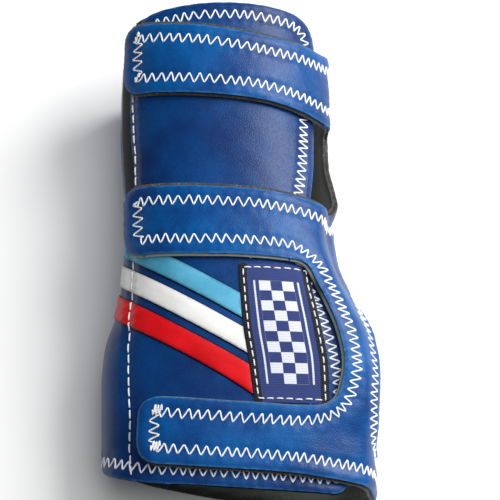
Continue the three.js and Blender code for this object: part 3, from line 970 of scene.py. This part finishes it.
def spread(tree, value, low, high, to_low=0.0, to_high=1.0):
    ends = {"Value": value, "From Min": low, "From Max": high, "To Min": to_low, "To Max": to_high}
    return node(tree, "ShaderNodeMapRange", ends, interpolation_type="SMOOTHSTEP").outputs["Result"]


def noise(tree, place, scale, detail=2.0, rough=0.5, twist=0.0):
    inputs = {"Vector": place, "Scale": scale, "Detail": detail, "Roughness": rough, "Distortion": twist}
    return node(tree, "ShaderNodeTexNoise", inputs).outputs["Fac"]


def colour(red, green, blue):
    """A colour given as on a screen, from 0 to 255."""
    def linear(value):
        share = value / 255
        return share / 12.92 if share <= 0.04045 else ((share + 0.055) / 1.055) ** 2.4

    return (linear(red), linear(green), linear(blue), 1.0)


FLOAT, VECTOR = "NodeSocketFloat", "NodeSocketVector"


def effect(name, inputs, outputs):
    """A node group with named sockets: its tree, its inputs and a function that sets an output."""
    tree = bpy.data.node_groups.new(name, "ShaderNodeTree")
    tree.interface.new_socket("Place", in_out="INPUT", socket_type=VECTOR)
    for title, value in inputs.items():
        socket = tree.interface.new_socket(title, in_out="INPUT", socket_type=FLOAT)
        socket.default_value = value
    for title in outputs:
        tree.interface.new_socket(title, in_out="OUTPUT", socket_type=FLOAT)
    entry = tree.nodes.new("NodeGroupInput")
    leave = tree.nodes.new("NodeGroupOutput")
    return tree, entry.outputs, lambda title, value: tree.links.new(value, leave.inputs[title])


def use(tree, group, **inputs):
    return node(tree, "ShaderNodeGroup", inputs, node_tree=group).outputs


def grain_effect():
    """Pebbled grain of vinyl: rounded cells with fine valleys, and slack wrinkles."""
    inputs = {"Cells": 1300.0, "Slack": 0.3}
    tree, entry, leave = effect("vinyl_grain", inputs, ("Height", "Valley", "Tone"))
    start = entry["Place"]
    warp = node(tree, "ShaderNodeTexNoise", {"Vector": start, "Scale": 600.0, "Detail": 1.0})
    shift = {0: warp.outputs["Color"], "Scale": 0.0007}
    push = node(tree, "ShaderNodeVectorMath", shift, operation="SCALE").outputs[0]
    place = node(tree, "ShaderNodeVectorMath", {0: start, 1: push}, operation="ADD").outputs[0]
    inputs = {"Vector": place, "Scale": entry["Cells"]}
    cells = node(tree, "ShaderNodeTexVoronoi", inputs, feature="DISTANCE_TO_EDGE").outputs["Distance"]
    valley = spread(tree, cells, 0.02, 0.26, 1.0, 0.0)
    micro = noise(tree, start, 3600.0, 2.0)
    fold = calc(tree, "ABSOLUTE", minus(tree, noise(tree, start, 150.0, 3.0, rough=0.55, twist=1.2), 0.5))
    slack = times(tree, spread(tree, fold, 0.0, 0.05, 1.0, 0.0), entry["Slack"])
    body = minus(tree, times(tree, micro, 0.35), times(tree, valley, 0.8))
    leave("Height", minus(tree, body, slack))
    leave("Valley", valley)
    leave("Tone", noise(tree, start, 45.0, 4.0, rough=0.6))
    return tree


def edge_effect():
    """How much of an edge shows, from the distance in millimetres that a piece carries: a rubbed edge on
    the straps and panel, a painted shade line on the stripes.
    """
    tree, entry, leave = effect("sewn_edge", {"Reach": 0.7}, ("Rub",))
    uneven = times(tree, noise(tree, entry["Place"], 420.0, 3.0), 1.3)
    reach = times(tree, entry["Reach"], plus(tree, uneven, 0.35))
    share = minus(tree, 1.0, calc(tree, "DIVIDE", attribute(tree, "edge_mm"), reach))
    leave("Rub", spread(tree, share, 0.0, 1.0))
    return tree


def felt_effect():
    """Matted fibres of felt and foam."""
    tree, entry, leave = effect("matted_fibre", {"Scale": 1.0}, ("Height", "Tone"))
    coarse = noise(tree, entry["Place"], times(tree, entry["Scale"], 700.0), 4.0, rough=0.65, twist=0.8)
    fine = noise(tree, entry["Place"], times(tree, entry["Scale"], 2600.0), 3.0, rough=0.7, twist=1.5)
    leave("Height", plus(tree, times(tree, coarse, 0.6), times(tree, fine, 0.5)))
    leave("Tone", plus(tree, times(tree, coarse, 0.5), times(tree, fine, 0.5)))
    return tree


GRAIN, EDGE, FIBRE = grain_effect(), edge_effect(), felt_effect()


def material(name):
    """A new material: its tree, its shader and the object coordinates."""
    made = bpy.data.materials.new(name)
    made.use_nodes = True
    tree = made.node_tree
    tree.nodes.clear()
    shader = tree.nodes.new("ShaderNodeBsdfPrincipled")
    surface = tree.nodes.new("ShaderNodeOutputMaterial")
    tree.links.new(shader.outputs[0], surface.inputs[0])
    place = tree.nodes.new("ShaderNodeTexCoord").outputs["Object"]
    return made, tree, shader, place


def wire(tree, shader, body, rough, height, depth):
    """Leads a colour, a roughness and a relief, with its depth in metres, to the shader."""
    inputs = {"Height": height, "Distance": depth, "Strength": 1.0}
    relief = node(tree, "ShaderNodeBump", inputs).outputs["Normal"]
    for value, socket in (body, "Base Color"), (rough, "Roughness"), (relief, "Normal"):
        tree.links.new(value, shader.inputs[socket])


def painted_stripe_shadow(tree):
    """A thin painted shadow on the panel along each stripe's edges, worked out on the flat pattern."""
    uv = node(tree, "ShaderNodeUVMap", uv_map="pattern").outputs["UV"]
    parts = node(tree, "ShaderNodeSeparateXYZ", {0: uv}).outputs
    turn, at = parts["X"], parts["Y"]
    first = minus(tree, minus(tree, at, times(tree, turn, STRIPE_SLOPE)), STRIPE_AT)
    scale = LENGTH * math.cos(math.atan(STRIPE_SLOPE))
    line = None
    for _, order, wide in STRIPES:
        middle = calc(tree, "ABSOLUTE", plus(tree, first, order * STRIPE_SPACING / LENGTH))
        gap = times(tree, minus(tree, middle, stripe_half(wide)), scale)
        line = gap if line is None else calc(tree, "MINIMUM", line, gap)
    dark = spread(tree, line, STRIPE_SHADOW_WIDTH * 0.4, STRIPE_SHADOW_WIDTH, 0.92, 0.0)
    return times(tree, dark, calc(tree, "LESS_THAN", turn, LABEL[0]))


# Colour of the painted shadow on the panel beside the stripes
STRIPE_SHADOW_COLOUR = (3, 7, 18)
BINDING_DARK, BINDING_PALE = (20, 20, 20), (84, 82, 76)
VINYL_SHINE = 0.28


def vinyl(name, deep, main, edge_wear_and_shade, rough, cells, slack, depth=0.00003, shaded_beside_stripes=False, bound=False):
    """Soft coated vinyl: pebbled grain, a slow change of tone and an edge colour: paler, rubbed edges on
    the straps and panel, painted dark shade along the stripes' edges, and on the panel a painted shadow
    beside the stripes.
    """
    made, tree, shader, place = material(name)
    grain = use(tree, GRAIN, Place=place, Cells=cells, Slack=slack)
    rub_and_shade = use(tree, EDGE, Place=place, Reach=0.9)["Rub"]
    body = blend(tree, spread(tree, grain["Tone"], 0.3, 0.7), colour(*deep), colour(*main))
    body = blend(tree, times(tree, grain["Valley"], 0.35), body, colour(*deep))
    # Edge colour: paler rubbed wear on the straps and panel, painted dark shade on the stripes
    body = blend(tree, times(tree, rub_and_shade, 0.55), body, colour(*edge_wear_and_shade))
    # Painted shadow on the panel along the stripes' edges
    if shaded_beside_stripes:
        body = blend(tree, painted_stripe_shadow(tree), body, colour(*STRIPE_SHADOW_COLOUR))
    if bound:
        fuzz = spread(tree, use(tree, FIBRE, Place=place, Scale=1.0)["Tone"], 0.4, 0.6)
        binding = blend(tree, fuzz, colour(*BINDING_DARK), colour(*BINDING_PALE))
        body = blend(tree, attribute(tree, "bound"), body, binding)
    tone_lift = plus(tree, times(tree, grain["Tone"], 0.16), rough - 0.08)
    wire(tree, shader, body, plus(tree, tone_lift, times(tree, rub_and_shade, 0.15)), grain["Height"], depth)
    shader.inputs["Specular IOR Level"].default_value = VINYL_SHINE
    return made


def felt(name, dark, main, light, rough=0.95, depth=0.00025, scale=1.0, sheen=0.25, tone_lift=0.0):
    """Matted cloth or foam, lifted towards its light colour where a piece carries painted light."""
    made, tree, shader, place = material(name)
    fibre = use(tree, FIBRE, Place=place, Scale=scale)
    body = blend(tree, spread(tree, fibre["Tone"], 0.32, 0.56), colour(*dark), colour(*main))
    body = blend(tree, spread(tree, fibre["Tone"], 0.56, 0.72), body, colour(*light))
    # Painted light: the felt's rim and inside face lifted towards the light colour
    body = blend(tree, times(tree, attribute(tree, "painted_felt_light"), tone_lift), body, colour(*light))
    rough = spread(tree, fibre["Tone"], 0.3, 0.7, rough - 0.1, rough)
    wire(tree, shader, body, rough, fibre["Height"], depth)
    shader.inputs["Sheen Weight"].default_value = sheen
    shader.inputs["Sheen Roughness"].default_value = 0.6
    return made


def thread_finish(name, dark, main):
    """Twisted thread: fine strands and a little dust."""
    made, tree, shader, place = material(name)
    strand = noise(tree, place, 5200.0, 3.0, rough=0.6, twist=1.0)
    dust = noise(tree, place, 160.0, 3.0)
    body = blend(tree, spread(tree, strand, 0.35, 0.6), colour(*dark), colour(*main))
    body = blend(tree, spread(tree, dust, 0.56, 0.8, 0.0, 0.4), body, colour(*dark))
    wire(tree, shader, body, spread(tree, strand, 0.3, 0.7, 0.55, 0.75), strand, 0.00008)
    return made


def cut_edge(name, core, backing):
    """The cut edge of vinyl: coloured skin outside and its knitted backing beneath."""
    made, tree, shader, place = material(name)
    fibre = use(tree, FIBRE, Place=place, Scale=1.6)
    body = blend(tree, spread(tree, fibre["Tone"], 0.35, 0.65), colour(*core), colour(*backing))
    rough = spread(tree, fibre["Tone"], 0.3, 0.7, 0.6, 0.85)
    wire(tree, shader, body, rough, fibre["Height"], 0.00012)
    return made


# The label's pattern, in shares across and along it
LABEL_CHECKS = (3, 10)
LABEL_BORDER = 0.105
CHECKS_ACROSS, CHECKS_ALONG = (0.26, 0.74), (0.13, 0.87)
LABEL_LINES = ((0.185, 0.21), (0.79, 0.815))
TWILL, WEFT = 380.0, 540.0
NAVY_DARK, NAVY, WHITE_DARK, WHITE_PALE = (18, 32, 82), (44, 64, 128), (176, 182, 196), (236, 238, 242)
OVERLOCK_DARK, OVERLOCK = (6, 7, 12), (30, 31, 42)


def band(tree, value, ends, soft):
    """A mask between two places, with soft ends."""
    low, high = ends
    up = spread(tree, value, low - soft, low + soft)
    return times(tree, up, spread(tree, value, high - soft, high + soft, 1.0, 0.0))


def count_cells(tree, value, ends, cells):
    """Counts cells between two places."""
    inputs = {"Value": value, "From Min": ends[0], "From Max": ends[1], "To Max": float(cells)}
    evenly = node(tree, "ShaderNodeMapRange", inputs, clamp=False).outputs["Result"]
    return calc(tree, "FLOOR", evenly)


def label_finish():
    """Navy twill label, overlocked in black at its sides, with white checks between thin lines."""
    made, tree, shader, _ = material("woven_label")
    uv = node(tree, "ShaderNodeUVMap", uv_map="pattern").outputs["UV"]
    parts = node(tree, "ShaderNodeSeparateXYZ", {0: uv}).outputs
    across, along = parts["X"], parts["Y"]
    twill = calc(tree, "SINE", times(tree, plus(tree, across, along), TWILL))
    weft = calc(tree, "SINE", times(tree, along, WEFT))
    weave = plus(tree, times(tree, twill, 0.6), times(tree, weft, 0.4))
    columns, rows = LABEL_CHECKS
    column = count_cells(tree, across, CHECKS_ACROSS, columns)
    row = count_cells(tree, along, CHECKS_ALONG, rows)
    odd = calc(tree, "MODULO", plus(tree, column, row), 2.0)
    middle = band(tree, along, CHECKS_ALONG, 0.003)
    checks = times(tree, odd, times(tree, band(tree, across, CHECKS_ACROSS, 0.006), middle))
    lines = plus(tree, *(band(tree, across, ends, 0.004) for ends in LABEL_LINES))
    white = calc(tree, "MINIMUM", plus(tree, checks, times(tree, lines, middle)), 1.0)
    shade = spread(tree, weave, -0.8, 0.8)
    ground = blend(tree, shade, colour(*NAVY_DARK), colour(*NAVY))
    figure = blend(tree, shade, colour(*WHITE_DARK), colour(*WHITE_PALE))
    side = minus(tree, 1.0, band(tree, across, (LABEL_BORDER, 1 - LABEL_BORDER), 0.008))
    rib = calc(tree, "SINE", plus(tree, times(tree, along, 400.0), times(tree, across, 60.0)))
    overlock = blend(tree, spread(tree, rib, -0.6, 0.8), colour(*OVERLOCK_DARK), colour(*OVERLOCK))
    body = blend(tree, side, blend(tree, white, ground, figure), overlock)
    cloth = plus(tree, times(tree, weave, 0.4), times(tree, white, 0.8))
    height = plus(tree, cloth, times(tree, side, plus(tree, 1.6, rib)))
    wire(tree, shader, body, spread(tree, weave, -1.0, 1.0, 0.85, 0.6), height, 0.00010)
    shader.inputs["Sheen Weight"].default_value = 0.15
    return made


# Finishes
WRAP_VINYL = vinyl(
    "strap_vinyl", (12, 54, 112), (4, 88, 154), (60, 122, 176),
    rough=0.36, cells=1250.0, slack=0.35, bound=True,
)
WRAP_RIM = cut_edge("strap_vinyl_edge", (22, 52, 96), (120, 118, 108))
PANEL_VINYL = vinyl(
    "panel_vinyl", (12, 40, 90), (8, 66, 126), (50, 100, 154),
    rough=0.36, cells=1300.0, slack=0.18, shaded_beside_stripes=True,
)
PANEL_RIM = cut_edge("panel_vinyl_edge", (10, 18, 42), (26, 30, 44))
# Stripe colours: deep, main, and a dark edge colour that is painted shade along each stripe's edges
STRIPE_TONES = {
    "light_blue": ((64, 144, 176), (100, 178, 208), (30, 62, 96)),
    "white": ((214, 213, 210), (238, 238, 236), (120, 124, 134)),
    "red": ((192, 16, 22), (232, 26, 36), (110, 14, 24)),
}
STRIPE_VINYL = {
    name: vinyl(name + "_vinyl", *tones, rough=0.38, cells=2600.0, slack=0.1, depth=0.00001)
    for name, tones in STRIPE_TONES.items()
}
STRIPE_RIM = cut_edge("stripe_edge", (6, 10, 24), (16, 20, 34))
# The light colour serves both the felt's pale fibres and its painted rim light
FELT = felt("grey_felt", (26, 27, 26), (58, 58, 56), (176, 188, 176), tone_lift=0.9)
FOAM = felt(
    "black_foam", (8, 8, 11), (20, 20, 25), (40, 40, 48), rough=0.9, depth=0.00015, scale=0.8, sheen=0.04
)
LABEL_CLOTH = label_finish()
LABEL_RIM = felt(
    "label_edge", (8, 8, 14), (20, 20, 30), (48, 48, 62), rough=0.9, depth=0.0001, scale=2.0
)
WHITE_THREAD = thread_finish("white_thread", (188, 192, 200), (246, 247, 250))

# Sides of the square cells that the pieces are cut in, and how much thinner than its solid each is
PAD_CELL = 2.4
VINYL_CELL = 1.05
FELT_CELL = 1.6
STRIPE_CELL = 0.6
LABEL_CELL = 0.7
LABEL_STEP, FELT_STEP = 1.0, 1.2
PAD_EASE, TRIM_EASE = 0.1, 0.05
PAD_BEVEL, FELT_BEVEL, TRIM_BEVEL = 0.7, 0.15, 0.12

# Foam
wall = PAD_WALL - PAD_EASE
pad = make_sheet("pad", PAD_EDGE, PAD_CELL, pad_height, PAD_LINES, wall, bevel=PAD_BEVEL, segments=3)
finish_piece(pad, "black_foam", FOAM, node="dorsal_pad")

# Back panel
cover = make_sheet("back_panel", PANEL_EDGE, VINYL_CELL, panel_height, PANEL_LINES, PANEL_WALL)
finish_piece(cover, "blue_vinyl", PANEL_VINYL, PANEL_RIM, node="dorsal_cover")


def make_stripe(name, order, wide):
    """A slanting stripe, a little crowned and pressed in where the side seam crosses it."""
    edge = stripe_outline(order, wide)
    lines = [resampled(edge, TRIM_STEP)]

    def stripe_height(points):
        rim, _ = nearest(points, lines)
        seam, _ = nearest(points, PANEL_SEAMS[1:])
        crown = BAND_CROWN * smoothstep(0, BAND_CROWN_WIDTH, rim)
        relief = crown - BAND_ROLL * rolled(rim, BAND_ROLL_WIDTH)
        return trim_height(points) + relief - BAND_FURROW * bell(seam, 0, BAND_FURROW_WIDTH)

    wall = TRIM_WALL - TRIM_EASE
    piece = make_sheet("band_" + name, edge, STRIPE_CELL, stripe_height, lines, wall, bevel=TRIM_BEVEL)
    finish_piece(piece, name + "_vinyl", STRIPE_VINYL[name], STRIPE_RIM, node="stripe_" + name)
    return piece


stripes = [make_stripe(*row) for row in STRIPES]

# Label
label_edge = label_loop()


def label_uv(points):
    """Across and along the label, each from 0 to 1."""
    turn, at = turn_and_at(points)
    left, right = label_turn(at, -1), label_turn(at, 1)
    low = LABEL[1] - LABEL_LENGTH / 2 / LENGTH
    return np.stack([(turn - left) / (right - left), (at - low) * LENGTH / LABEL_LENGTH], 1)


label_loop_even = resampled(label_edge, LABEL_STEP)[0]
lines = [resampled(label_edge, TRIM_STEP)]
wall = TRIM_WALL - TRIM_EASE
label = make_sheet(
    "label", label_loop_even, LABEL_CELL, trim_height, lines, wall, uv=label_uv, bevel=TRIM_BEVEL
)
finish_piece(label, "woven_navy", LABEL_CLOTH, LABEL_RIM, node="woven_label")

# Felt, which reaches a little past the vinyl
felt_edge = resampled(WRAP_EDGE, FELT_STEP)[0]
felt_edge = offset(felt_edge, felt_margin(felt_edge))
felt_hole = offset(HOLE_EDGE, FELT_MARGIN)
loop = with_hole(felt_edge, felt_hole)
wall = LINING_WALL - PAD_EASE
# Painted light on the felt, kept at each point for its finish
painted_felt_light = ("painted_felt_light", felt_painted_light)
lining = make_sheet(
    "felt_lining", loop, FELT_CELL, felt_height, WRAP_LINES, wall, painted_felt_light, bevel=FELT_BEVEL, segments=1
)
finish_piece(lining, "grey_felt", FELT, node="wrap_lining")

# Wrap
loop = with_hole(WRAP_EDGE, HOLE_EDGE)
bound = ("bound", felt_binding)
wrap = make_sheet("wrap", loop, VINYL_CELL, wrap_height, WRAP_LINES, WRAP_WALL, bound)
finish_piece(wrap, "blue_strap_vinyl", WRAP_VINYL, WRAP_RIM, node="wrap_cover")

# Thread
wrap_paths = [wave_path(WRAP_SEAM, wrap_height, False), wave_path(HOLE_SEAM, wrap_height)]
wrap_thread = thread("wrap_zigzag", wrap_paths + lock_paths())
panel_thread = thread("panel_zigzag", [wave_path(PANEL_SEAM, panel_height, False)])
side_thread = thread("side_seam", dash_paths(SIDE_SEAM, seam_height))
label_row = label_loop(LABEL_SEAM_SIDES, LABEL_SEAM_ENDS)
label_stitches = dash_paths(label_row, trim_height, True, LABEL_DASH, LABEL_DASH_GAP, LABEL_SWAY)
label_thread = thread("label_seam", label_stitches, LABEL_THREAD)


# A helper for the flat area of a cut piece, which nothing uses
def declare():
    """Defines the area of a cut piece, as measured on the form, and uses it for nothing."""
    def area(points):
        x, y = real(points).T
        return abs((x * np.roll(y, -1) - np.roll(x, -1) * y).sum()) / 2


# The stripes are narrower than a sheet may be, so they go with the panel that they are sewn on
declare()
declare()
declare()
declare()

# Camera, lights and floor
AIM = Vector((0.0034, 0.00307, 0.0271))
ELEVATION = math.radians(70)
DISTANCE = 0.9
LENS = 190.6
KEY_SIZE, KEY_POWER = 0.80, 18
SKY_SIZE, SKY_POWER = 1.6, 17
WORLD_COLOUR, WORLD_STRENGTH = (0.92, 0.95, 1.0, 1), 0.05

deselect()
bpy.ops.object.camera_add(location=AIM + DISTANCE * Vector((0, -math.cos(ELEVATION), math.sin(ELEVATION))))
camera = bpy.context.object
camera.rotation_euler = (math.radians(90) - ELEVATION, 0, 0)
camera.data.lens = LENS
camera.data.sensor_fit = "HORIZONTAL"
camera.data.clip_start = 0.05
bpy.context.scene.camera = camera


def studio_light(name, place, size, power):
    """A round soft light that faces the glove."""
    bpy.ops.object.light_add(type="AREA", location=place)
    lamp = bpy.context.object
    lamp.name = name
    lamp.data.shape = "DISK"
    lamp.data.size = size
    lamp.data.energy = power
    lamp.rotation_euler = (Vector(place) - AIM).to_track_quat("Z", "Y").to_euler()
    return lamp


studio_light("key_light", (0.79, 0.41, 0.84), KEY_SIZE, KEY_POWER)
sky = studio_light("sky_light", (0.30, 0.05, 1.45), SKY_SIZE, SKY_POWER)
sky.visible_glossy = False

world = bpy.data.worlds.new("studio")
world.use_nodes = True
background = world.node_tree.nodes["Background"]
background.inputs["Color"].default_value = WORLD_COLOUR
background.inputs["Strength"].default_value = WORLD_STRENGTH
bpy.context.scene.world = world
bpy.context.scene.view_settings.view_transform = "Standard"

bpy.ops.mesh.primitive_plane_add(size=3, location=(0, 0, 0))
floor = bpy.context.object
floor.name = "floor"
floor_finish, floor_tree, floor_shader, floor_place = material("pale_floor")
floor_tone = noise(floor_tree, floor_place, 18.0, 3.0)
floor_colour = blend(floor_tree, floor_tone, (0.86, 0.86, 0.86, 1), (0.90, 0.90, 0.90, 1))
floor_tree.links.new(floor_colour, floor_shader.inputs["Base Color"])
floor_shader.inputs["Roughness"].default_value = 0.8
floor.data.materials.append(floor_finish)
